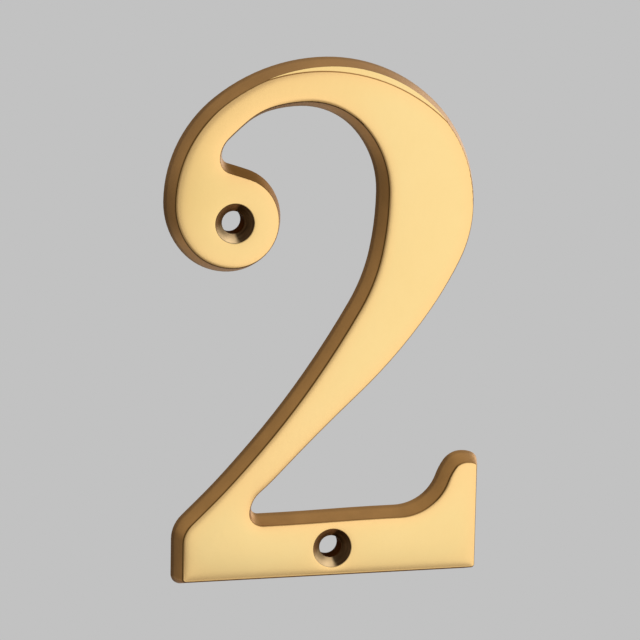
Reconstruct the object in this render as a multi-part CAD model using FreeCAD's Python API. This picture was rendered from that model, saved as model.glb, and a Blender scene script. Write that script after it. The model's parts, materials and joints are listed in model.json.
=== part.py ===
"""Cast brass door number, the figure 2, for two countersunk screws.

One casting: a flat face, drafted walls that spread towards the back, and a flat back.
Millimetres, +Z up, the face looks along -Y and the back lies on y = 0.
The origin is on the back, at mid-width, on the lower edge of its flat.
"""
import FreeCAD, Part
import math
import os

from FreeCAD import Vector

# The casting as a whole. All sizes of the outline are sizes of the face.
FACE_HEIGHT = 99.2        # foot to crown
FACE_WIDTH = 60.85        # bowl's left edge to toe
THICKNESS = 5.0           # back to face
WALL_DRAFT = 16.3         # degrees that each wall leans outwards from face to back
FACE_EDGE_RADIUS = 0.25   # polished round where the face meets a wall or a countersink
BACK_EDGE_BEVEL = 0.15    # fettled bevel where a wall meets the back, along each
CORNER_RADIUS = 0.60      # the foot's three sharp corners, seen from the front

# The foot: the heel on the left, the upturned toe on the right and the bar between them
FOOT_LENGTH = 58.6        # heel to toe
FOOT_DEPTH = 10.8         # lower edge to the bar's level upper edge
HEEL_RISE = 7.6           # straight stretch of the heel
HEEL_SHOULDER_RUN = 4.6   # heel to the start of the stem
HEEL_SHOULDER_RISE = 6.5  # top of the straight stretch to the start of the stem
HEEL_SLOPE = 43.5         # degrees, of the stem where it starts
TOE_RISE = 21.2           # lower edge to the top of the toe
TOE_TIP = 2.1             # top of the toe to its outer edge
TOE_FALL = 0.5            # top of the toe to its outer corner
TOE_WAIST = 5.7           # outer edge to the middle of the hollow flank
TOE_WAIST_RISE = 17.5     # lower edge to the middle of the hollow flank
TOE_WAIST_SLOPE = 70.5    # degrees, there
TOE_HOLLOW = 15.4         # outer edge to where the bar's upper edge starts to rise

# The crotch between the foot and the stem
CROTCH_TIP = 13.0         # heel to the innermost point
CROTCH_RISE = 2.1         # the bar's upper edge to the innermost point
CROTCH_RUN = 2.7          # innermost point to where its floor is level
CROTCH_DIP = 0.4          # its floor below the bar's upper edge
THROAT_RUN = 5.65         # innermost point to the stem's underside
THROAT_RISE = 7.7         # the same, upwards
THROAT_SLOPE = 46.0       # degrees, of the underside there

# The stem, from the foot to the bowl
STEM_FOOT_RUN = 15.3      # heel to a point on the stem's upper side
STEM_FOOT_RISE = 25.5     # lower edge to that point
STEM_FOOT_SLOPE = 49.0    # degrees, there
STEM_WAIST_RUN = 36.65    # bowl's left edge to the narrowest place, on the upper side
STEM_WAIST_DROP = 46.75   # crown to that place
STEM_WAIST_SLOPE = 60.0   # degrees, there
STEM_WIDTH = 13.85        # upper side to underside, level
STEM_DROP = 0.6           # the point on the underside is lower
STEM_UNDER_SLOPE = 55.0   # degrees, of the underside there

# The bowl, placed from its left edge and from the crown
BOWL_WIDTH = 58.6         # outer left to outer right
BOWL_LEFT_DROP = 25.65    # crown to where the left edge stands upright
BOWL_RIGHT_DROP = 27.25   # crown to where the right edge stands upright
CROWN_RUN = 29.85         # left edge to the crown
BOWL_STROKE = 16.8        # inside to outside, at the right
ARCH_RIGHT_DROP = 24.65   # crown to where the inside stands upright
ARCH_RUN = 25.15          # left edge to the top of the arch inside
ARM_THICKNESS = 6.5       # crown to the top of the arch inside
ARM_RUN = 13.55           # left edge to the arm's inside, on its way down to the nook
ARM_DROP = 10.1           # crown to that point
ARM_SLOPE = 40.0          # degrees, there

# The ball that ends the arm, round the upper screw hole
BALL_RUN = 11.45          # bowl's left edge to the ball's centre
BALL_DROP = 29.45         # crown to the ball's centre
BALL_RADIUS = 8.65
NOOK_REACH = 3.0          # ball's centre to the nook's innermost point
NOOK_RISE = 12.3          # the same, upwards
BROW_REACH = 3.1          # ball's centre to where the nook turns into the ball
BROW_RISE = 8.2           # the same, upwards
BROW_SLOPE = 19.5         # degrees, falling

# The screw holes: the upper one is on the ball's centre
BORE_RADIUS = 2.2
COUNTERSINK_RADIUS = 3.85
COUNTERSINK_ANGLE = 90.0  # degrees, included
FOOT_HOLE_RUN = 29.6      # heel to the lower hole's axis
FOOT_HOLE_RISE = 5.35     # the foot's lower edge to the lower hole's axis

# The ledge ground along the crown's outer edge
LEDGE_DEPTH = 0.4
LEDGE_RADIUS = 36.0
LEDGE_SHIFT = -2.0        # crown to the ledge's centre, along X
LEDGE_WIDTH = 0.9         # at its middle
LEDGE_STEP_DRAFT = 30.0   # degrees that its step leans

CLEAR = 1.0               # how far a cutter stands out of the casting
TINY = 1e-7

# Lines that the outline is set out from
SPREAD = THICKNESS * math.tan(math.radians(WALL_DRAFT))
FOOT_Z = SPREAD - BACK_EDGE_BEVEL
CROWN_Z = FOOT_Z + FACE_HEIGHT
BAR_Z = FOOT_Z + FOOT_DEPTH
TOE_TOP_Z = FOOT_Z + TOE_RISE
TOE_X = FACE_WIDTH / 2
HEEL_X = TOE_X - FOOT_LENGTH
BOWL_LEFT_X = -FACE_WIDTH / 2
BOWL_RIGHT_X = BOWL_LEFT_X + BOWL_WIDTH
CROWN_X = BOWL_LEFT_X + CROWN_RUN
CROTCH_X = HEEL_X + CROTCH_TIP
CROTCH_Z = BAR_Z + CROTCH_RISE
STEM_WAIST_X = BOWL_LEFT_X + STEM_WAIST_RUN
STEM_WAIST_Z = CROWN_Z - STEM_WAIST_DROP
BALL_X = BOWL_LEFT_X + BALL_RUN
BALL_Z = CROWN_Z - BALL_DROP


def heading_vector(heading):
    """Unit vector in the plane of the face, turned from +X towards +Z."""
    angle = math.radians(heading)
    return Vector(math.cos(angle), 0, math.sin(angle))


def flat_cross(first, second):
    """Positive where second points to the left of first, seen from the front."""
    return first.x * second.z - first.z * second.x


def corner(point, arriving, leaving):
    """Two knots that round the corner at point to CORNER_RADIUS."""
    trim = CORNER_RADIUS * math.tan(math.radians(abs(leaving - arriving) / 2))
    start = point - heading_vector(arriving) * trim
    end = point + heading_vector(leaving) * trim
    return [(start, arriving), (end, leaving)]


def outline_knots():
    """Points of the face's outline with the heading there, clockwise from the heel."""
    toe_slope = -math.degrees(math.atan2(2 * TOE_FALL, TOE_TIP))
    knots = [
        (HEEL_X, FOOT_Z + HEEL_RISE, 90),
        (HEEL_X + HEEL_SHOULDER_RUN, FOOT_Z + HEEL_RISE + HEEL_SHOULDER_RISE, HEEL_SLOPE),
        (HEEL_X + STEM_FOOT_RUN, FOOT_Z + STEM_FOOT_RISE, STEM_FOOT_SLOPE),
        (STEM_WAIST_X, STEM_WAIST_Z, STEM_WAIST_SLOPE),
        (BOWL_RIGHT_X - BOWL_STROKE, CROWN_Z - ARCH_RIGHT_DROP, 90),
        (BOWL_LEFT_X + ARCH_RUN, CROWN_Z - ARM_THICKNESS, 180),
        (BOWL_LEFT_X + ARM_RUN, CROWN_Z - ARM_DROP, 180 + ARM_SLOPE),
        (BALL_X - NOOK_REACH, BALL_Z + NOOK_RISE, 270),
        (BALL_X + BROW_REACH, BALL_Z + BROW_RISE, 360 - BROW_SLOPE),
        (BALL_X + BALL_RADIUS, BALL_Z, 270),
        (BALL_X, BALL_Z - BALL_RADIUS, 180),
        (BOWL_LEFT_X, CROWN_Z - BOWL_LEFT_DROP, 90),
        (CROWN_X, CROWN_Z, 0),
        (BOWL_RIGHT_X, CROWN_Z - BOWL_RIGHT_DROP, -90),
        (STEM_WAIST_X + STEM_WIDTH, STEM_WAIST_Z - STEM_DROP, 180 + STEM_UNDER_SLOPE),
        (CROTCH_X + THROAT_RUN, CROTCH_Z + THROAT_RISE, 180 + THROAT_SLOPE),
        (CROTCH_X, CROTCH_Z, 270),
        (CROTCH_X + CROTCH_RUN, BAR_Z - CROTCH_DIP, 360),
        (TOE_X - TOE_HOLLOW, BAR_Z, 0),
        (TOE_X - TOE_WAIST, FOOT_Z + TOE_WAIST_RISE, TOE_WAIST_SLOPE),
        (TOE_X - TOE_TIP, TOE_TOP_Z, 0),
    ]
    placed = [(Vector(x, 0, z), heading) for x, z, heading in knots]
    placed += corner(Vector(TOE_X, 0, TOE_TOP_Z - TOE_FALL), toe_slope, -90)
    placed += corner(Vector(TOE_X, 0, FOOT_Z), -90, -180)
    placed += corner(Vector(HEEL_X, 0, FOOT_Z), 180, 90)
    return placed


def arc_or_line(start, end, leaving):
    """The arc, or the line, that leaves start along a tangent and reaches end."""
    chord = end - start
    side = flat_cross(leaving, chord)
    if abs(side) < TINY * chord.Length:
        return {"start": start, "end": end, "centre": None}
    radius = chord.Length ** 2 / (2 * side)
    centre = start + Vector(-leaving.z, 0, leaving.x) * radius
    first = math.atan2(start.z - centre.z, start.x - centre.x)
    last = math.atan2(end.z - centre.z, end.x - centre.x)
    sweep = math.degrees(last - first) % 360
    if radius < 0:
        sweep -= 360
    return {"start": start, "end": end, "centre": centre, "sweep": sweep, "radius": radius}


def join(knot, following):
    """One piece where that fits both headings, and otherwise two tangent arcs."""
    start, leaving = knot[0], heading_vector(knot[1])
    end, arriving = following[0], heading_vector(following[1])
    chord = end - start
    bend = 1 - leaving.dot(arriving)
    if abs(flat_cross(leaving, chord) - flat_cross(chord, arriving)) < TINY * chord.Length:
        return [arc_or_line(start, end, leaving)]
    along = chord.dot(leaving + arriving)
    if bend < TINY:
        arm = chord.dot(chord) / (2 * along)
    else:
        arm = (math.sqrt(along ** 2 + 2 * bend * chord.dot(chord)) - along) / (2 * bend)
    near = start + leaving * arm
    far = end - arriving * arm
    middle = (near + far) / 2
    return [arc_or_line(start, middle, leaving), arc_or_line(middle, end, (far - near).normalize())]


def outline():
    """The face's whole outline as lines and tangent arcs, where face and wall would meet."""
    knots = outline_knots()
    pieces = []
    for knot, following in zip(knots, knots[1:] + knots[:1]):
        pieces += join(knot, following)
    return pieces


def outward(piece):
    """Unit vector out of the casting at the start of a piece."""
    if piece["centre"] is None:
        along = (piece["end"] - piece["start"]).normalize()
        return Vector(-along.z, 0, along.x)
    across = (piece["start"] - piece["centre"]).normalize()
    return across if piece["sweep"] < 0 else across * -1


def wall_section(piece):
    """The wall's section at the start of a piece, from the face to the back."""
    start, out, back = piece["start"], outward(piece), Vector(0, 1, 0)
    lean = math.radians(WALL_DRAFT)
    down = out * math.sin(lean) + back * math.cos(lean)
    crease = start - back * THICKNESS
    skirt = start + out * SPREAD

    face_trim = FACE_EDGE_RADIUS * math.tan(math.radians(90 - WALL_DRAFT) / 2)
    face_start = crease - out * face_trim
    face_end = crease + down * face_trim
    face_centre = face_start + back * FACE_EDGE_RADIUS
    face_middle = face_centre + (crease - face_centre).normalize() * FACE_EDGE_RADIUS

    bevel_start = skirt - down * BACK_EDGE_BEVEL
    bevel_end = skirt - out * BACK_EDGE_BEVEL

    return Part.Wire([
        Part.Arc(face_start, face_middle, face_end).toShape(),
        Part.LineSegment(face_end, bevel_start).toShape(),
        Part.LineSegment(bevel_start, bevel_end).toShape(),
    ])


def sweep_along(shape, piece):
    """Carry a section, or a point of it, along a piece of the outline."""
    if piece["centre"] is None:
        return shape.extrude(piece["end"] - piece["start"])
    return shape.revolve(piece["centre"], Vector(0, -1, 0), piece["sweep"])


def flat_side(pieces, sections, end):
    """The flat face, or the flat back, inside the ends of the wall sections."""
    edges = [sweep_along(section.Vertexes[end], piece) for piece, section in zip(pieces, sections)]
    return Part.Face(Part.Wire(Part.sortEdges(edges)[0]))


def casting():
    """The solid figure, before its holes and its ledge."""
    pieces = outline()
    sections = [wall_section(piece) for piece in pieces]
    faces = [flat_side(pieces, sections, 0), flat_side(pieces, sections, -1)]
    for piece, section in zip(pieces, sections):
        faces += sweep_along(section, piece).Faces
    skin = Part.makeCompound(faces)
    skin.sewShape()
    return Part.Solid(skin.Shells[0])


def screw_hole(x, z):
    """Cutter for a bore and its countersink, with the countersink's lip polished round."""
    half_angle = math.radians(COUNTERSINK_ANGLE / 2)
    sink = (COUNTERSINK_RADIUS - BORE_RADIUS) / math.tan(half_angle)
    trim = FACE_EDGE_RADIUS * math.tan((math.pi / 2 - half_angle) / 2)
    face_y = -THICKNESS
    rim = Vector(COUNTERSINK_RADIUS, face_y, 0)
    lip_start = rim + Vector(trim, 0, 0)
    lip_end = rim + Vector(-math.sin(half_angle), math.cos(half_angle), 0) * trim
    lip_centre = lip_start + Vector(0, FACE_EDGE_RADIUS, 0)
    lip_middle = lip_centre + (rim - lip_centre).normalize() * FACE_EDGE_RADIUS
    bore_start = Vector(BORE_RADIUS, face_y + sink, 0)
    corners = [
        lip_end,
        bore_start,
        Vector(BORE_RADIUS, CLEAR, 0),
        Vector(0, CLEAR, 0),
        Vector(0, face_y - CLEAR, 0),
        Vector(lip_start.x, face_y - CLEAR, 0),
        lip_start,
    ]
    edges = [Part.LineSegment(a, b).toShape() for a, b in zip(corners, corners[1:])]
    edges.append(Part.Arc(lip_start, lip_middle, lip_end).toShape())
    cutter = Part.Face(Part.Wire(edges)).revolve(Vector(0, 0, 0), Vector(0, 1, 0), 360)
    cutter.translate(Vector(x, 0, z))
    return cutter


def ledge():
    """What was ground off outside a circle, above the middle of the bowl."""
    centre_x = CROWN_X + LEDGE_SHIFT
    centre_z = CROWN_Z - LEDGE_WIDTH - LEDGE_RADIUS
    lean = math.tan(math.radians(LEDGE_STEP_DRAFT))
    depth = LEDGE_DEPTH + CLEAR
    reach = 2 * LEDGE_RADIUS
    face_y = -THICKNESS - CLEAR
    slab = Part.makeBox(2 * reach, depth, reach, Vector(centre_x - reach, face_y, centre_z))
    kept = Part.makeCone(
        LEDGE_RADIUS - CLEAR * lean, LEDGE_RADIUS + LEDGE_DEPTH * lean, depth,
        Vector(centre_x, face_y, centre_z), Vector(0, 1, 0))
    return slab.cut(kept)


def door_number():
    figure = casting()
    figure = figure.cut(ledge())
    figure = figure.cut(screw_hole(BALL_X, BALL_Z))
    return figure.cut(screw_hole(HEEL_X + FOOT_HOLE_RUN, FOOT_Z + FOOT_HOLE_RISE))


number = door_number()
os.makedirs("parts", exist_ok=True)
number.Solids[0].exportStep("parts/door_number.step")
print("solids", len(number.Solids), "valid", number.isValid(), "volume", round(number.Volume, 1))
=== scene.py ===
"""The looks of a cast brass door number: polished face, satin walls and cut screw holes."""

import json
import math

import bpy
import numpy as np
from mathutils import Matrix, Quaternion, Vector


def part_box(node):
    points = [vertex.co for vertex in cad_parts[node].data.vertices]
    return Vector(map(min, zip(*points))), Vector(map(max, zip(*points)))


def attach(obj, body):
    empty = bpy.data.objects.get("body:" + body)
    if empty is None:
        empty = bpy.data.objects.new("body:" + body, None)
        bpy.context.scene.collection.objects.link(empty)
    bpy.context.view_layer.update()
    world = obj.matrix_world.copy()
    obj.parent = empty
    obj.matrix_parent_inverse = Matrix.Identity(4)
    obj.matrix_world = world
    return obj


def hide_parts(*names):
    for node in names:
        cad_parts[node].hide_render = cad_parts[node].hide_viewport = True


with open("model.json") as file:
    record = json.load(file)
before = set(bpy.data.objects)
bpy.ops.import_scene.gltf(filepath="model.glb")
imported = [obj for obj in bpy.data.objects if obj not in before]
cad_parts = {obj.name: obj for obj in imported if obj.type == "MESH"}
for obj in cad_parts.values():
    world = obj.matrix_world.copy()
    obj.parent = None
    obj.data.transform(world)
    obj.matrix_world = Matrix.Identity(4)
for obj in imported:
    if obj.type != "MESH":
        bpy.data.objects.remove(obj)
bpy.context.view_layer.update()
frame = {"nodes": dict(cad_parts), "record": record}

MM = 0.001

# The polished face is worn down in two falls, each with its full depth and its reach
EDGE_WEAR = ((0.095 * MM, 0.38 * MM), (0.125 * MM, 2.4 * MM))
RIM_STEP = 0.1 * MM          # spacing of the points that stand for the edges
RIM_OUT = 0.25 * MM          # the wear is centred this far outside them
HOLE_SHARE = 0.3             # and is this much of the full wear at the screw holes
BATCH = 400                  # places worked out at a time
LEVEL = 0.0000001            # no slope of the worn face counts as less than this
WEAR_NAME = "edge_wear"      # the wear of each place, in millimetres, as the materials read it

# The mesh of the face, and of the rounding between it and the walls
FACE_CELL = 0.45 * MM        # spacing of the face's mesh
FACE_ROWS = (0.13 * MM, 0.15 * MM)   # widths of the rows of cells along its edges
FACE_SKIN = 0.3 * MM         # the face and its rounded edges lie within this of the front
EDGE_RADIUS = 0.25 * MM      # radius of the rounding
EDGE_TURN = math.radians(73.7)   # how far it turns, up to the drafted walls
EDGE_DEPTH = 0.181 * MM      # how far back it reaches, at most
EDGE_ROWS = 9                # rows of faces along it
MERGE = 0.001 * MM           # vertices this near to each other are one, and this near to the front are on it
THIN = 0.0001 * MM           # a cut this near to a vertex goes through it
FLAT_ANGLE = math.radians(1)     # faces that turn by less than this are dissolved into one
SHARP_ANGLE = math.radians(35)   # an edge that turns by more than this stays sharp

# What tells the zones of the casting apart
FLAT_NORMAL = 0.999          # a face of the mesh is flat to the front or back from this normal on
WALL_NORMAL = 0.85           # a wall's normal has less than this share towards the front
LINE_DEPTH = 0.04 * MM       # the walls' finish starts this far back on the rounding
HOLE_REACH = 4.1 * MM        # a screw hole's own faces lie within this of its axis
HOLE_NORMAL = 0.9            # and have less than this share of their normal along it
LEDGE_FLOOR = (0.35 * MM, 0.45 * MM)   # how deep the crown's ledge lies, at least and at most
SHOULDER_FROM_HOLE = Vector((5.0, 0, 6.0)) * MM   # the ball's shoulder, seen from its screw hole

# The photograph's camera, round the middle of the figure
CAMERA_AZIMUTH = -15.372     # degrees
CAMERA_ELEVATION = 11.541    # degrees
CAMERA_ROLL = 1.1505         # degrees
CAMERA_DISTANCE = 673.95 * MM
CAMERA_TARGET = Vector((-1.95, -4.81, 51.94)) * MM
CAMERA_NEAREST = 10 * MM     # nothing nearer than this is seen
SENSOR_WIDTH = 36.0          # millimetres of film
LENS = 198.4                 # millimetres

# The stage
BACKDROP_GREY = (0.539, 0.539, 0.539)
FLOOR_DROP = 100 * MM        # the floor is this far under the foot
FLOOR_RADIUS = 300 * MM
FLOOR_CORNERS = 96
FLOOR_FADE = (0.45 * FLOOR_RADIUS, 0.95 * FLOOR_RADIUS)   # where it fades into the backdrop
FLOOR_PALE = (0.62, 0.62, 0.62)
FLOOR_ROUGHNESS = 0.8
CARD_ROUGHNESS = 0.9

# Soft boxes, each aimed at the middle of the figure: azimuth, elevation, distance, width,
# height, roll and strength. The first one is what the polished face reflects.
SOFT_BOXES = {
    "front_right": (38.8, -2, 1.0, 0.98, 1.10, -24, 0.44),
    "overhead": (172, 62, 1.0, 1.1, 1.1, 0, 0.06),
    "behind_right": (142, 4, 1.0, 0.5, 0.5, 0, 0.8),
    "right": (98, 18, 1.0, 0.5, 0.72, 0, 1.0),
    "upper_right": (65, 56, 1.0, 0.5, 0.6, 0, 0.9),
}
LAMP_POWER = 4.0             # watts that a square metre of lamp takes for a strength of 1
# Cards, as used to show the outline of polished metal: azimuth, elevation, distance, width,
# height and colour
CARDS = {
    "behind_left_card": (-128, -22, 0.95, 1.0, 0.8, (0.36, 0.35, 0.34)),
    "right_card": (112, -40, 0.95, 2.0, 0.5, (0.13, 0.08, 0.045)),
    "low_card": (0, -90, 0.135, 0.22, 0.20, (0.28, 0.19, 0.12)),
}

casting = frame["nodes"]["door_number"]
casting_low, casting_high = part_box("door_number")
screw_holes = [m for m in frame["record"]["mounts"] if m["kind"] == "bore"]
upper_hole = max(screw_holes, key=lambda hole: hole["pos_m"][2])
SHOULDER = Vector(upper_hole["pos_m"]) + SHOULDER_FROM_HOLE


def only(piece):
    """Select one object and make it active."""
    bpy.ops.object.select_all(action="DESELECT")
    piece.select_set(True)
    bpy.context.view_layer.objects.active = piece


def select_faces(piece, chosen):
    """Leave just the chosen faces of a mesh selected, ready for edit mode."""
    mesh = piece.data
    mesh.vertices.foreach_set("select", np.zeros(len(mesh.vertices), bool))
    mesh.edges.foreach_set("select", np.zeros(len(mesh.edges), bool))
    mesh.polygons.foreach_set("select", chosen)


def face_table(mesh):
    """Normals and centres of a mesh's faces, as rows."""
    count = len(mesh.polygons)
    normals = np.zeros(count * 3, np.float32)
    centres = np.zeros(count * 3, np.float32)
    mesh.polygons.foreach_get("normal", normals)
    mesh.polygons.foreach_get("center", centres)
    return normals.reshape(-1, 3), centres.reshape(-1, 3)


def points_of(mesh):
    """Places of a mesh's vertices, as rows."""
    places = np.zeros(len(mesh.vertices) * 3, np.float32)
    mesh.vertices.foreach_get("co", places)
    return places.reshape(-1, 3).astype(float)


def depths_of(mesh):
    """How far each vertex of a mesh lies behind the casting's front."""
    return points_of(mesh)[:, 1] - casting_low.y


def copy_of_casting():
    """The casting's mesh as one closed skin, in a piece of its own."""
    numeral = bpy.data.objects.new("brass_numeral", casting.data.copy())
    bpy.context.scene.collection.objects.link(numeral)
    numeral.data.materials.clear()
    only(numeral)
    bpy.ops.object.mode_set(mode="EDIT")
    bpy.ops.mesh.select_all(action="SELECT")
    bpy.ops.mesh.customdata_custom_splitnormals_clear()
    bpy.ops.mesh.remove_doubles(threshold=MERGE)
    bpy.ops.object.mode_set(mode="OBJECT")
    return numeral


def near_a_hole(places):
    """Which places, flat on the plane of the face, belong to a screw hole."""
    within = np.zeros(len(places), bool)
    for hole in screw_holes:
        x, _, z = hole["pos_m"]
        within |= np.hypot(places[:, 0] - x, places[:, 1] - z) < HOLE_REACH
    return within


def ledge_step(mesh):
    """Which faces of the mesh climb from the crown's ledge to the polished face."""
    depths = depths_of(mesh)
    step = np.zeros(len(mesh.polygons), bool)
    for polygon in mesh.polygons:
        corners = depths[list(polygon.vertices)]
        from_ledge = LEDGE_FLOOR[0] < corners.max() < LEDGE_FLOOR[1]
        step[polygon.index] = corners.min() < MERGE and from_ledge
    return step


def rounded_edges(mesh):
    """Which faces of the mesh belong to the rounding between the polished face and the walls."""
    depths = depths_of(mesh)
    deepest = np.array([depths[list(polygon.vertices)].max() for polygon in mesh.polygons])
    _, centres = face_table(mesh)
    return (deepest > MERGE) & (deepest < EDGE_DEPTH) & ~near_a_hole(centres[:, (0, 2)])


def row_the_edges(numeral):
    """Cut the rounding along the polished face into even rows of faces."""
    select_faces(numeral, rounded_edges(numeral.data))
    only(numeral)
    bpy.ops.object.mode_set(mode="EDIT")
    bpy.ops.mesh.select_mode(type="FACE")
    bpy.ops.mesh.hide(unselected=True)
    for row in range(1, EDGE_ROWS):
        depth = EDGE_RADIUS * (1 - math.cos(EDGE_TURN * row / EDGE_ROWS))
        bpy.ops.mesh.select_all(action="SELECT")
        bpy.ops.mesh.bisect(
            plane_co=(0, casting_low.y + depth, 0), plane_no=(0, 1, 0), threshold=THIN)
    bpy.ops.mesh.reveal(select=False)
    bpy.ops.object.mode_set(mode="OBJECT")


def finish_zones(numeral, finishes):
    """Give each zone its own material: face, walls, screw holes, the ledge's step and the back."""
    for material in finishes:
        numeral.data.materials.append(material)
    normals, centres = face_table(numeral.data)
    step = ledge_step(numeral.data)
    in_hole = near_a_hole(centres[:, (0, 2)]) & (np.abs(normals[:, 1]) < HOLE_NORMAL)
    on_back = normals[:, 1] > FLAT_NORMAL
    past_line = centres[:, 1] > casting_low.y + LINE_DEPTH
    on_wall = np.where(rounded_edges(numeral.data), past_line, normals[:, 1] > -WALL_NORMAL)
    on_wall &= ~in_hole & ~step & ~on_back
    for slot, chosen in enumerate((on_wall, in_hole, step, on_back), 1):
        select_faces(numeral, chosen)
        only(numeral)
        bpy.ops.object.mode_set(mode="EDIT")
        numeral.active_material_index = slot
        bpy.ops.object.material_slot_assign()
        bpy.ops.object.mode_set(mode="OBJECT")


def on_polished_face(mesh):
    """Which faces of the mesh make up the polished face."""
    normals, centres = face_table(mesh)
    return (normals[:, 1] < -FLAT_NORMAL) & (centres[:, 1] < casting_low.y + FACE_SKIN)


def grid_the_face(numeral):
    """Give the polished face an even mesh, with narrow rows of cells along its edges."""
    select_faces(numeral, on_polished_face(numeral.data))
    bpy.ops.object.mode_set(mode="EDIT")
    bpy.ops.mesh.select_mode(type="FACE")
    bpy.ops.mesh.dissolve_limited(angle_limit=FLAT_ANGLE)
    for row in FACE_ROWS:
        bpy.ops.mesh.inset(thickness=row, use_boundary=True, use_even_offset=True)
    bpy.ops.mesh.hide(unselected=True)
    for axis in (0, 2):
        cell = Vector((0, 0, 0))
        cell[axis] = FACE_CELL
        lines = int((casting_high[axis] - casting_low[axis]) / FACE_CELL)
        for line in range(1, lines + 1):
            bpy.ops.mesh.select_all(action="SELECT")
            bpy.ops.mesh.bisect(plane_co=casting_low + cell * line, plane_no=cell.normalized())
    bpy.ops.mesh.reveal(select=False)
    bpy.ops.object.mode_set(mode="OBJECT")


def rim_of_face(mesh):
    """Close points along the edges of the polished face, outwards there, and each one's weight."""
    places = points_of(mesh)[:, (0, 2)]
    _, centres = face_table(mesh)
    faces = {}
    for polygon, flat in zip(mesh.polygons, on_polished_face(mesh)):
        if flat:
            for key in polygon.edge_keys:
                faces.setdefault(key, []).append(polygon.index)
    points, outwards, weights = [], [], []
    for (first, last), (inner, *others) in faces.items():
        if others:
            continue
        start, end = places[first], places[last]
        run = math.hypot(*(end - start))
        across = np.array((start[1] - end[1], end[0] - start[0])) / run
        if (centres[inner, (0, 2)] - start) @ across > 0:
            across = -across
        count = math.ceil(run / RIM_STEP)
        shares = (np.arange(count) + 0.5) / count
        points.append(start + (end - start) * shares[:, None])
        outwards.append(np.tile(across, (count, 1)))
        share = HOLE_SHARE if near_a_hole(start[None])[0] else 1.0
        weights.append(np.full(count, share * run / count))
    return np.concatenate(points), np.concatenate(outwards), np.concatenate(weights)


def wear_at(places, points, weights):
    """How far the face is worn down at each place, and its slope along X and Z."""
    wear = np.zeros(len(places))
    slope = np.zeros((len(places), 2))
    for first in range(0, len(places), BATCH):
        some = slice(first, first + BATCH)
        away = places[some, None] - points
        distance = np.sqrt((away ** 2).sum(2))
        for drop, reach in EDGE_WEAR:
            share = drop * weights * np.exp(-distance / reach) / (2 * reach)
            wear[some] += share.sum(1)
            slope[some] -= ((share / (distance * reach))[:, :, None] * away).sum(1)
    return wear, slope


def nearest_point(places, points):
    """The nearest of the points to each place."""
    nearest = [((points - place) ** 2).sum(1).argmin() for place in places]
    return points[nearest]


def keep_wear(mesh, front, wear):
    """Keep the wear of the front's places on the mesh, for the materials."""
    depths = np.zeros(len(mesh.vertices), np.float32)
    depths[front] = wear / MM
    mesh.attributes.new(WEAR_NAME, "FLOAT", "POINT").data.foreach_set("value", depths)


def smooth_normals(numeral):
    """Smooth over the arcs and keep the true creases, with the large faces leading."""
    only(numeral)
    bpy.ops.object.shade_smooth_by_angle(angle=SHARP_ANGLE, keep_sharp_edges=False)
    weighting = numeral.modifiers.new("lead_of_large_faces", "WEIGHTED_NORMAL")
    weighting.keep_sharp = True
    bpy.ops.object.modifier_apply(modifier=weighting.name)


def worn_normals(slope, turn):
    """Normals of the worn face by its slope, turned on round its rounded edges."""
    steepness = np.maximum(np.hypot(slope[:, 0], slope[:, 1]), LEVEL)
    tilt = turn + np.arctan(steepness) * np.maximum(1 - turn / EDGE_TURN, 0)
    across = slope / steepness[:, None] * np.sin(tilt)[:, None]
    return np.column_stack((across[:, 0], -np.cos(tilt), across[:, 1]))


def linish_the_face(numeral):
    """Wear the polished face down towards its edges, as a polishing wheel leaves it, and shade it so."""
    mesh = numeral.data
    points, outwards, weights = rim_of_face(mesh)
    places = points_of(mesh)
    front = np.nonzero(places[:, 1] < casting_low.y + FACE_SKIN)[0]
    depths = places[front][:, 1] - casting_low.y
    seats = places[front][:, (0, 2)]
    on_plane = depths < MERGE
    rounded = ~on_plane & (depths < EDGE_DEPTH) & ~near_a_hole(seats)
    seats[rounded] = nearest_point(seats[rounded], points)
    wear, slope = wear_at(seats, points + outwards * RIM_OUT, weights)
    places[front, 1] += wear
    mesh.vertices.foreach_set("co", places.astype(np.float32).ravel())
    mesh.update()
    keep_wear(mesh, front, wear)
    turn = np.where(rounded, np.arccos(1 - np.minimum(depths, EDGE_DEPTH) / EDGE_RADIUS), 0)
    given = on_plane | rounded
    worn = np.zeros((len(places), 3))
    worn[front[given]] = worn_normals(slope, turn)[given]
    smooth_normals(numeral)
    shade_the_face(mesh, worn)


def shade_the_face(mesh, worn):
    """Shade by the worn normals each face of the mesh whose corners all have one."""
    corners = np.zeros(len(mesh.loops) * 3, np.float32)
    mesh.corner_normals.foreach_get("vector", corners)
    corners = corners.reshape(-1, 3)
    at = np.zeros(len(mesh.loops), np.int32)
    mesh.loops.foreach_get("vertex_index", at)
    firsts = np.zeros(len(mesh.polygons), np.int32)
    mesh.polygons.foreach_get("loop_start", firsts)
    sizes = np.zeros(len(mesh.polygons), np.int32)
    mesh.polygons.foreach_get("loop_total", sizes)
    chosen = np.repeat(np.logical_and.reduceat(worn[at, 1] < 0, firsts), sizes)
    corners[chosen] = worn[at[chosen]]
    mesh.normals_split_custom_set(corners.tolist())


def node_tree(material):
    """A material's nodes, cleared but for a Principled BSDF that feeds the output."""
    material.use_nodes = True
    nodes = material.node_tree.nodes
    nodes.clear()
    output = nodes.new("ShaderNodeOutputMaterial")
    shader = nodes.new("ShaderNodeBsdfPrincipled")
    material.node_tree.links.new(shader.outputs["BSDF"], output.inputs["Surface"])
    return nodes, material.node_tree.links, shader


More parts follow.
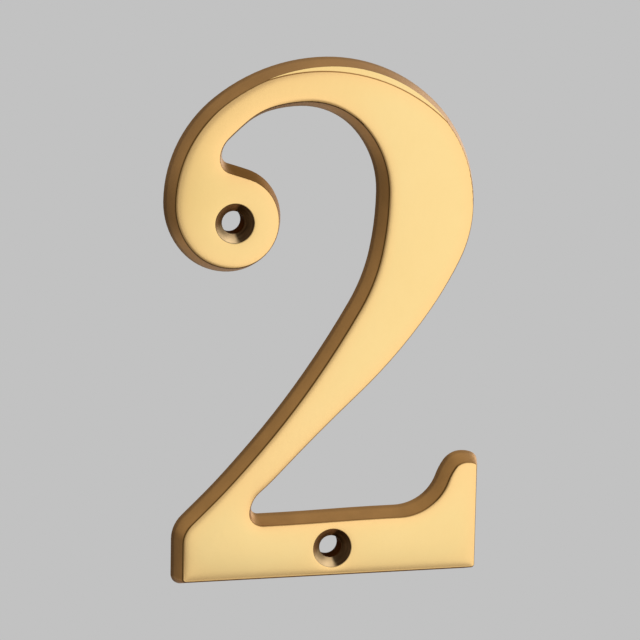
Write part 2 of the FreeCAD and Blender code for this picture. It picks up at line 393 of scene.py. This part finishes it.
def grain_group():
    """Fine marks, stretched along one direction, as a value round 0.5."""
    group = bpy.data.node_groups.new("fine_grain", "ShaderNodeTree")
    group.interface.new_socket("Place", in_out="INPUT", socket_type="NodeSocketVector")
    group.interface.new_socket("Stretch", in_out="INPUT", socket_type="NodeSocketVector")
    group.interface.new_socket("Scale", in_out="INPUT", socket_type="NodeSocketFloat")
    group.interface.new_socket("Marks", in_out="OUTPUT", socket_type="NodeSocketFloat")
    nodes, links = group.nodes, group.links
    inlet = nodes.new("NodeGroupInput")
    outlet = nodes.new("NodeGroupOutput")
    stretched = nodes.new("ShaderNodeVectorMath")
    stretched.operation = "MULTIPLY"
    links.new(inlet.outputs["Place"], stretched.inputs[0])
    links.new(inlet.outputs["Stretch"], stretched.inputs[1])
    noise = nodes.new("ShaderNodeTexNoise")
    noise.inputs["Detail"].default_value = GRAIN_DETAIL
    noise.inputs["Roughness"].default_value = GRAIN_ROUGHNESS
    links.new(stretched.outputs["Vector"], noise.inputs["Vector"])
    links.new(inlet.outputs["Scale"], noise.inputs["Scale"])
    links.new(noise.outputs["Fac"], outlet.inputs["Marks"])
    return group


def share_group():
    """How far a vector reaches along a direction, as a share from a low to a high reach."""
    group = bpy.data.node_groups.new("share_along", "ShaderNodeTree")
    for name in ("Vector", "Direction"):
        group.interface.new_socket(name, in_out="INPUT", socket_type="NodeSocketVector")
    for name in ("Low", "High"):
        group.interface.new_socket(name, in_out="INPUT", socket_type="NodeSocketFloat")
    group.interface.new_socket("Share", in_out="OUTPUT", socket_type="NodeSocketFloat")
    nodes, links = group.nodes, group.links
    inlet = nodes.new("NodeGroupInput")
    outlet = nodes.new("NodeGroupOutput")
    reach = nodes.new("ShaderNodeVectorMath")
    reach.operation = "DOT_PRODUCT"
    links.new(inlet.outputs["Vector"], reach.inputs[0])
    links.new(inlet.outputs["Direction"], reach.inputs[1])
    share = nodes.new("ShaderNodeMapRange")
    share.interpolation_type = "SMOOTHSTEP"
    links.new(reach.outputs["Value"], share.inputs["Value"])
    links.new(inlet.outputs["Low"], share.inputs["From Min"])
    links.new(inlet.outputs["High"], share.inputs["From Max"])
    links.new(share.outputs["Result"], outlet.inputs["Share"])
    return group


def add_grain(nodes, links, group, stretch, scale):
    """Place the fine grain in a material, on the piece's own coordinates."""
    coordinates = nodes.new("ShaderNodeTexCoord")
    grain = nodes.new("ShaderNodeGroup")
    grain.node_tree = group
    links.new(coordinates.outputs["Object"], grain.inputs["Place"])
    grain.inputs["Stretch"].default_value = stretch
    grain.inputs["Scale"].default_value = scale
    return grain.outputs["Marks"]


def add_share(nodes, links, group, vector, direction, low, high):
    """Place a share along a direction in a material: of the piece's own Object places or its Normal."""
    coordinates = nodes.new("ShaderNodeTexCoord")
    share = nodes.new("ShaderNodeGroup")
    share.node_tree = group
    links.new(coordinates.outputs[vector], share.inputs["Vector"])
    share.inputs["Direction"].default_value = direction
    share.inputs["Low"].default_value = low
    share.inputs["High"].default_value = high
    return share.outputs["Share"]


def map_range(nodes, links, value, low, high, to_low, to_high):
    """A value taken over from one range to another."""
    taken = nodes.new("ShaderNodeMapRange")
    links.new(value, taken.inputs["Value"])
    taken.inputs["From Min"].default_value = low
    taken.inputs["From Max"].default_value = high
    taken.inputs["To Min"].default_value = to_low
    taken.inputs["To Max"].default_value = to_high
    return taken.outputs["Result"]


def spread(nodes, links, marks, to_low, to_high):
    """The grain's marks, spread over a range of their own."""
    return map_range(nodes, links, marks, *GRAIN_RANGE, to_low, to_high)


def combine(nodes, links, operation, first, second):
    """Two values in one, kept from 0 to 1; the second may be a plain number."""
    both = nodes.new("ShaderNodeMath")
    both.operation = operation
    both.use_clamp = True
    links.new(first, both.inputs[0])
    if isinstance(second, float):
        both.inputs[1].default_value = second
    else:
        links.new(second, both.inputs[1])
    return both.outputs["Value"]


def mix_colour(nodes, links, share, first, second):
    """A colour between two, by a share; each is a plain colour or another node's."""
    mix = nodes.new("ShaderNodeMix")
    mix.data_type = "RGBA"
    links.new(share, mix.inputs["Factor"])
    for name, colour in (("A", first), ("B", second)):
        socket = next(i for i in mix.inputs if i.type == "RGBA" and i.name == name)
        if isinstance(colour, tuple):
            socket.default_value = (*colour, 1)
        else:
            links.new(colour, socket)
    return next(o for o in mix.outputs if o.type == "RGBA")


def worn_share(nodes, links, low, high):
    """How worn a place is, as a share from a low to a high wear in millimetres."""
    wear = nodes.new("ShaderNodeAttribute")
    wear.attribute_name = WEAR_NAME
    return map_range(nodes, links, wear.outputs["Fac"], low, high, 0, 1)


def near(nodes, links, place, full, none):
    """How near a surface is to a place: wholly within one distance, and not at all past another."""
    coordinates = nodes.new("ShaderNodeTexCoord")
    away = nodes.new("ShaderNodeVectorMath")
    away.operation = "DISTANCE"
    links.new(coordinates.outputs["Object"], away.inputs[0])
    away.inputs[1].default_value = place
    return map_range(nodes, links, away.outputs["Value"], full, none, 1, 0)


def bump(nodes, links, height, distance, shader):
    """Let a height stand on the surface by a distance."""
    relief = nodes.new("ShaderNodeBump")
    relief.inputs["Strength"].default_value = 1.0
    relief.inputs["Distance"].default_value = distance
    links.new(height, relief.inputs["Height"])
    links.new(relief.outputs["Normal"], shader.inputs["Normal"])


# Colours of the finishes
FACE_BRASS = (0.93, 0.685, 0.303)
FACE_BRASS_DEEP = (0.90, 0.630, 0.250)
FACE_BRASS_WORN = (0.98, 0.63, 0.262)
WALL_BRASS = (0.55, 0.285, 0.088)
WALL_BRASS_DEEP = (0.46, 0.237, 0.072)
# the walls' painted shade
WALL_PAINTED_SHADE = (0.20, 0.103, 0.038)
# the painted shade line along the front edges of the walls and the face
PAINTED_EDGE_SHADE = (0.13, 0.060, 0.008)
# a painted highlight in the countersinks
HOLE_HIGHLIGHT = (1.0, 0.73, 0.40)
HOLE_BRASS_DULL = (0.55, 0.30, 0.130)
# painted shade in the screw holes
HOLE_SHADE = (0.045, 0.024, 0.010)
BACK_BRASS = (0.74, 0.50, 0.210)
BACK_BRASS_DEEP = (0.68, 0.44, 0.175)
BACK_TARNISH = (0.50, 0.29, 0.110)
RESIDUE = (0.33, 0.170, 0.060)
EDGE_TINT = (1.0, 0.93, 0.84)       # how brass reflects at a grazing angle
SHOULDER_SHADE_TINT = (0.58, 0.44, 0.34)      # how the walls reflect on the ball's shoulder, dimmed as painted shade
BORE_TINT = (0.32, 0.27, 0.20)      # and how the darker screw holes do

# Directions on the piece
REARWARDS = (0, 1, 0)
FORWARDS = (0, -1, 0)
TO_THE_LEFT = (-1, 0, 0)
TO_UPPER_LEFT = (-0.75, 0, 0.66)
TO_LOWER_LEFT = (-0.8, 0, -0.6)
OUT_OF_LOWER_LEFT = (0.45, 0, 0.893)   # as the lower left of a hole faces

# The fine marks: their noise, how they are stretched, and how close they lie
GRAIN_DETAIL = 4.0
GRAIN_ROUGHNESS = 0.6
GRAIN_RANGE = (0.3, 0.7)     # nearly all marks keep to this
EVEN = (1, 1, 1)
UPRIGHT = (1, 1, 0.06)
BELTED = (1, 1, 0.02)
ROUND_THE_HOLE = (0.08, 1, 0.08)
FACE_CLOUDS = 45
FACE_SCRATCHES = 6500
WALL_CLOUDS = 160
WALL_SAND = 3200
HOLE_RINGS = 2600
RESIDUE_SPECKS = 3000
BACK_STAINS = 60
BACK_MARKS = 5200

# How rough each finish is, at least and at most, and how far its marks stand out
FACE_ROUGHNESS = (0.19, 0.22)
WALL_ROUGHNESS = (0.34, 0.46)
HOLE_ROUGHNESS = (0.40, 0.50)
RESIDUE_ROUGHNESS = (0.4, 0.55)
BACK_ROUGHNESS = (0.30, 0.38)
FACE_RELIEF = 0.0001 * MM
WALL_RELIEF = 0.006 * MM
HOLE_RELIEF = 0.002 * MM
BACK_RELIEF = 0.0006 * MM

# The zones below are given by where they start and where they are full. A lean is how far a
# normal points along a direction, and a depth is measured from the plane of the back.

# The face: its darkening to the upper left and its clouds, the warmer bands where it is worn, and the
# painted shade line at its rim
FACE_DARKENING = (52 * MM, 80 * MM)    # from the frame's origin towards the upper left
FACE_DARKENING_SHARE = 0.8
FACE_CLOUD_SHARES = (0, 0.4)
WARMED_WEAR = (0.07, 0.21)           # millimetres of wear
RIM_WEAR = (0.165, 0.20)             # millimetres of wear
RIM_LEAN = (0.02, 0.10)              # to the lower left
RIM_SHARE = 0.6

# The walls: painted shade on the left and along both edges, painted shade on the ball's shoulder, and some
# darkening to the upper left
SIDE_SHADE = (-4.6 * MM, 0.6 * MM)   # rearwards
SIDE_LEAN = (0.3, 1.0)               # to the left
SIDE_SHARE = 0.6
REAR_SHADE_LINE = (-1.7 * MM, -0.6 * MM)   # rearwards
REAR_SHADE_SHARES = (0.4, 0.95)       # off the left side, and on it
SHOULDER_REACH = (6.5 * MM, 9.5 * MM)    # full within the first, and none past the second
SHOULDER_SHARE = 0.85
WALL_DARKENING = (66 * MM, 75 * MM)    # from the frame's origin towards the upper left
WALL_DARKENING_SHARE = 0.2
SHADE_PATCHES = (0.7, 1.0)
FRONT_LINE = (4.25 * MM, 4.65 * MM)  # forwards
FRONT_LINE_LEAN = (-0.25, 0.25)      # to the lower left
FRONT_LINE_SHARES = (0.4, 1)         # off the lower left side, and on it

# The screw holes: a painted highlight where they face the lower left, painted shade on their far side, in
# the bore and at their rim
HIGHLIGHT_LEAN = (0.26, 0.58)          # out of the lower left
CONE_LEAN = (0.3, 0.6)               # forwards
HIGHLIGHT_RINGS = (0.82, 1.0)
FAR_SIDE_LEAN = (0.02, 0.22)         # to the left
BORE_LEAN = (-0.6, -0.3)             # rearwards
HOLE_RIM = (4.68 * MM, 4.86 * MM)    # forwards
HOLE_RIM_SHARE = 0.75
SHADE_RINGS = (0.85, 1.0)

BACK_STAIN_SHARES = (0, 0.5)         # how strong the stains on the back are


def brass(name, tint=EDGE_TINT):
    """A metal material that reflects with a tint at grazing angles, and its parts."""
    material = bpy.data.materials.new(name)
    nodes, links, shader = node_tree(material)
    shader.inputs["Metallic"].default_value = 1.0
    shader.inputs["Specular Tint"].default_value = (*tint, 1)
    return material, nodes, links, shader


def polished_brass(grain, along):
    """The linished and polished face: deeper in tone to its upper left, warmer where it is worn, with a
    painted shade line along its lower left rim.
    """
    material, nodes, links, shader = brass("polished_brass")
    clouds = add_grain(nodes, links, grain, EVEN, FACE_CLOUDS)
    # darker in tone towards the upper left
    darkening = add_share(nodes, links, along, "Object", TO_UPPER_LEFT, *FACE_DARKENING)
    darkening = combine(nodes, links, "MULTIPLY", darkening, FACE_DARKENING_SHARE)
    tone = combine(nodes, links, "ADD", darkening, spread(nodes, links, clouds, *FACE_CLOUD_SHARES))
    scratches = add_grain(nodes, links, grain, UPRIGHT, FACE_SCRATCHES)
    unworn = mix_colour(nodes, links, tone, FACE_BRASS, FACE_BRASS_DEEP)
    worn = worn_share(nodes, links, *WARMED_WEAR)
    warmed = mix_colour(nodes, links, worn, unworn, FACE_BRASS_WORN)
    # a painted shade line along the worn rim, where it faces the lower left
    rim = worn_share(nodes, links, *RIM_WEAR)
    shaded = add_share(nodes, links, along, "Normal", TO_LOWER_LEFT, *RIM_LEAN)
    with_painted_shade = combine(nodes, links, "MULTIPLY", rim, shaded)
    with_painted_shade = combine(nodes, links, "MULTIPLY", with_painted_shade, RIM_SHARE)
    links.new(mix_colour(nodes, links, with_painted_shade, warmed, PAINTED_EDGE_SHADE), shader.inputs["Base Color"])
    links.new(spread(nodes, links, scratches, *FACE_ROUGHNESS), shader.inputs["Roughness"])
    bump(nodes, links, scratches, FACE_RELIEF, shader)
    return material


def satin_brass(grain, along):
    """The walls, as cast and rubbed down, with painted shade along their edges, at the rear of the left ones
    and on the ball's shoulder.
    """
    material, nodes, links, shader = brass("satin_brass")
    clouds = add_grain(nodes, links, grain, EVEN, WALL_CLOUDS)
    sand = add_grain(nodes, links, grain, EVEN, WALL_SAND)
    clean = mix_colour(nodes, links, spread(nodes, links, clouds, 0, 1), WALL_BRASS_DEEP, WALL_BRASS)
    # painted shade towards the rear of the left-facing walls
    depth = add_share(nodes, links, along, "Object", REARWARDS, *SIDE_SHADE)
    side = add_share(nodes, links, along, "Normal", TO_THE_LEFT, *SIDE_LEAN)
    painted_side_shade = combine(nodes, links, "MULTIPLY", depth, side)
    painted_side_shade = combine(nodes, links, "MULTIPLY", painted_side_shade, SIDE_SHARE)
    # a painted shade line along the rear edge, strongest on the left side
    painted_rear_line = add_share(nodes, links, along, "Object", REARWARDS, *REAR_SHADE_LINE)
    strength = map_range(nodes, links, side, 0, 1, *REAR_SHADE_SHARES)
    painted_rear_line = combine(nodes, links, "MULTIPLY", painted_rear_line, strength)
    # painted shade on the ball's shoulder, tucked under the arm, which also dims its reflections
    painted_shoulder_shade = near(nodes, links, SHOULDER, *SHOULDER_REACH)
    painted_shoulder_shade = combine(nodes, links, "MULTIPLY", painted_shoulder_shade, SHOULDER_SHARE)
    # darker towards the upper left
    darkening = add_share(nodes, links, along, "Object", TO_UPPER_LEFT, *WALL_DARKENING)
    darkening = combine(nodes, links, "MULTIPLY", darkening, WALL_DARKENING_SHARE)
    painted_wall_shade = combine(nodes, links, "ADD", painted_side_shade, painted_rear_line)
    painted_wall_shade = combine(nodes, links, "MAXIMUM", painted_wall_shade, painted_shoulder_shade)
    painted_wall_shade = combine(nodes, links, "ADD", painted_wall_shade, darkening)
    patchy = combine(nodes, links, "MULTIPLY", painted_wall_shade, spread(nodes, links, sand, *SHADE_PATCHES))
    with_painted_shade = mix_colour(nodes, links, patchy, clean, WALL_PAINTED_SHADE)
    # a painted shade line along the front edge, strongest where it faces the lower left
    painted_front_line = add_share(nodes, links, along, "Object", FORWARDS, *FRONT_LINE)
    shaded = add_share(nodes, links, along, "Normal", TO_LOWER_LEFT, *FRONT_LINE_LEAN)
    strength = map_range(nodes, links, shaded, 0, 1, *FRONT_LINE_SHARES)
    painted_front_line = combine(nodes, links, "MULTIPLY", painted_front_line, strength)
    links.new(mix_colour(nodes, links, painted_front_line, with_painted_shade, PAINTED_EDGE_SHADE), shader.inputs["Base Color"])
    shaded_tint = mix_colour(nodes, links, painted_shoulder_shade, EDGE_TINT, SHOULDER_SHADE_TINT)
    links.new(shaded_tint, shader.inputs["Specular Tint"])
    links.new(spread(nodes, links, sand, *WALL_ROUGHNESS), shader.inputs["Roughness"])
    bump(nodes, links, sand, WALL_RELIEF, shader)
    return material


def cut_brass(grain, along):
    """The bores and countersinks: a cutter's rings, a painted highlight where they face the lower left, and
    painted shade on their far side, in the bores and at the rim.
    """
    material, nodes, links, shader = brass("cut_brass", BORE_TINT)
    rings = add_grain(nodes, links, grain, ROUND_THE_HOLE, HOLE_RINGS)
    # a painted highlight where the countersinks face the lower left
    towards = add_share(nodes, links, along, "Normal", OUT_OF_LOWER_LEFT, *HIGHLIGHT_LEAN)
    on_cone = add_share(nodes, links, along, "Normal", FORWARDS, *CONE_LEAN)
    painted_highlight = combine(nodes, links, "MULTIPLY", towards, on_cone)
    painted_highlight = combine(nodes, links, "MULTIPLY", painted_highlight, spread(nodes, links, rings, *HIGHLIGHT_RINGS))
    # painted shade on the holes' right sides, in the bores and along their rim
    far_side = add_share(nodes, links, along, "Normal", TO_THE_LEFT, *FAR_SIDE_LEAN)
    in_bore = add_share(nodes, links, along, "Normal", REARWARDS, *BORE_LEAN)
    rim_shade_line = add_share(nodes, links, along, "Object", FORWARDS, *HOLE_RIM)
    rim_shade_line = combine(nodes, links, "MULTIPLY", rim_shade_line, HOLE_RIM_SHARE)
    with_painted_shade = combine(nodes, links, "MAXIMUM", far_side, in_bore)
    with_painted_shade = combine(nodes, links, "MAXIMUM", with_painted_shade, rim_shade_line)
    with_painted_shade = combine(nodes, links, "MULTIPLY", with_painted_shade, spread(nodes, links, rings, *SHADE_RINGS))
    metal = mix_colour(nodes, links, painted_highlight, HOLE_BRASS_DULL, HOLE_HIGHLIGHT)
    links.new(mix_colour(nodes, links, with_painted_shade, metal, HOLE_SHADE), shader.inputs["Base Color"])
    links.new(spread(nodes, links, rings, *HOLE_ROUGHNESS), shader.inputs["Roughness"])
    bump(nodes, links, rings, HOLE_RELIEF, shader)
    return material


def dark_residue(grain):
    """The step of the crown's ledge, where polishing compound stays."""
    material, nodes, links, shader = brass("dark_residue")
    specks = add_grain(nodes, links, grain, EVEN, RESIDUE_SPECKS)
    links.new(mix_colour(nodes, links, specks, RESIDUE, WALL_BRASS), shader.inputs["Base Color"])
    links.new(spread(nodes, links, specks, *RESIDUE_ROUGHNESS), shader.inputs["Roughness"])
    return material


def belted_brass(grain):
    """The back, rubbed flat on a belt, with its fine straight marks and a little tarnish."""
    material, nodes, links, shader = brass("belted_brass")
    marks = add_grain(nodes, links, grain, BELTED, BACK_MARKS)
    stains = add_grain(nodes, links, grain, EVEN, BACK_STAINS)
    stains = spread(nodes, links, stains, *BACK_STAIN_SHARES)
    fresh = mix_colour(nodes, links, spread(nodes, links, marks, 0, 1), BACK_BRASS_DEEP, BACK_BRASS)
    links.new(mix_colour(nodes, links, stains, fresh, BACK_TARNISH), shader.inputs["Base Color"])
    links.new(spread(nodes, links, marks, *BACK_ROUGHNESS), shader.inputs["Roughness"])
    bump(nodes, links, marks, BACK_RELIEF, shader)
    return material


def make_finishes():
    """The finishes of the face, the walls, the screw holes, the ledge's step and the back."""
    grain, along = grain_group(), share_group()
    face, walls, holes = (finish(grain, along) for finish in (polished_brass, satin_brass, cut_brass))
    return face, walls, holes, dark_residue(grain), belted_brass(grain)


def make_numeral():
    """The whole dressed casting."""
    numeral = copy_of_casting()
    row_the_edges(numeral)
    finish_zones(numeral, make_finishes())
    grid_the_face(numeral)
    linish_the_face(numeral)
    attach(numeral, "root")
    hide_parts("door_number")


def sight(azimuth, elevation):
    """Unit vector from the figure out to an azimuth and elevation, in degrees."""
    a, e = math.radians(azimuth), math.radians(elevation)
    return Vector((math.sin(a) * math.cos(e), -math.cos(a) * math.cos(e), math.sin(e)))


def turned_to(outwards, roll=0):
    """Euler angles that turn a lamp or a card to the figure, and roll it in its own plane."""
    return (outwards.to_track_quat("Z", "Y") @ Quaternion((0, 0, 1), math.radians(roll))).to_euler()


def make_camera():
    """The photograph's view of the figure."""
    data = bpy.data.cameras.new("camera")
    data.sensor_width = SENSOR_WIDTH
    data.lens = LENS
    data.clip_start = CAMERA_NEAREST
    camera = bpy.data.objects.new("camera", data)
    bpy.context.scene.collection.objects.link(camera)
    back = sight(CAMERA_AZIMUTH, CAMERA_ELEVATION)
    level_right = (-back).cross(Vector((0, 0, 1))).normalized()
    level_up = level_right.cross(-back)
    turn = math.radians(CAMERA_ROLL)
    right = level_right * math.cos(turn) + level_up * math.sin(turn)
    up = level_up * math.cos(turn) - level_right * math.sin(turn)
    camera.matrix_world = Matrix((right, up, back)).transposed().to_4x4()
    camera.location = CAMERA_TARGET + back * CAMERA_DISTANCE
    bpy.context.scene.camera = camera


def soft_box(name, azimuth, elevation, distance, width, height, roll, strength):
    """A soft box aimed at the middle of the figure, which the camera doesn't see."""
    data = bpy.data.lights.new(name, "AREA")
    data.shape = "RECTANGLE"
    data.size = width
    data.size_y = height
    data.energy = LAMP_POWER * width * height * strength
    lamp = bpy.data.objects.new(name, data)
    bpy.context.scene.collection.objects.link(lamp)
    outwards = sight(azimuth, elevation)
    lamp.location = CAMERA_TARGET + outwards * distance
    lamp.rotation_euler = turned_to(outwards, roll)
    lamp.visible_camera = False


def card(name, azimuth, elevation, distance, width, height, colour):
    """A card that edges or walls reflect, and that the camera doesn't see."""
    outwards = sight(azimuth, elevation)
    bpy.ops.object.select_all(action="DESELECT")
    bpy.ops.mesh.primitive_plane_add(
        size=1, location=CAMERA_TARGET + outwards * distance, rotation=turned_to(outwards))
    sheet = bpy.context.object
    sheet.name = name
    sheet.scale = (width, height, 1)
    bpy.ops.object.transform_apply(location=True, rotation=True, scale=True)
    sheet.visible_camera = False
    sheet.visible_diffuse = False
    sheet.visible_shadow = False
    material = bpy.data.materials.new(name)
    _, _, shader = node_tree(material)
    shader.inputs["Base Color"].default_value = (*colour, 1)
    shader.inputs["Roughness"].default_value = CARD_ROUGHNESS
    sheet.data.materials.append(material)


def make_floor():
    """A plain pale floor, which fades into the backdrop at its rim."""
    bpy.ops.object.select_all(action="DESELECT")
    bpy.ops.mesh.primitive_circle_add(
        vertices=FLOOR_CORNERS, radius=FLOOR_RADIUS, fill_type="NGON",
        location=(0, 0, casting_low.z - FLOOR_DROP))
    floor = bpy.context.object
    floor.name = "floor"
    material = bpy.data.materials.new("pale_floor")
    nodes, links, shader = node_tree(material)
    shader.inputs["Base Color"].default_value = (*FLOOR_PALE, 1)
    shader.inputs["Roughness"].default_value = FLOOR_ROUGHNESS
    output = next(n for n in nodes if n.type == "OUTPUT_MATERIAL")
    backdrop = nodes.new("ShaderNodeEmission")
    backdrop.inputs["Color"].default_value = (*BACKDROP_GREY, 1)
    place = nodes.new("ShaderNodeTexCoord")
    reach = nodes.new("ShaderNodeVectorMath")
    reach.operation = "LENGTH"
    links.new(place.outputs["Object"], reach.inputs[0])
    rim = map_range(nodes, links, reach.outputs["Value"], *FLOOR_FADE, 0, 1)
    fade = nodes.new("ShaderNodeMixShader")
    links.new(rim, fade.inputs["Fac"])
    links.new(shader.outputs["BSDF"], fade.inputs[1])
    links.new(backdrop.outputs["Emission"], fade.inputs[2])
    links.new(fade.outputs["Shader"], output.inputs["Surface"])
    floor.data.materials.append(material)


def make_world():
    """A plain grey backdrop all round."""
    world = bpy.data.worlds.new("studio")
    bpy.context.scene.world = world
    world.use_nodes = True
    backdrop = world.node_tree.nodes["Background"]
    backdrop.inputs["Color"].default_value = (*BACKDROP_GREY, 1)
    backdrop.inputs["Strength"].default_value = 1.0


make_numeral()
make_floor()
make_camera()
make_world()
for name, values in SOFT_BOXES.items():
    soft_box(name, *values)
for name, values in CARDS.items():
    card(name, *values)
bpy.context.scene.view_settings.view_transform = "Standard"
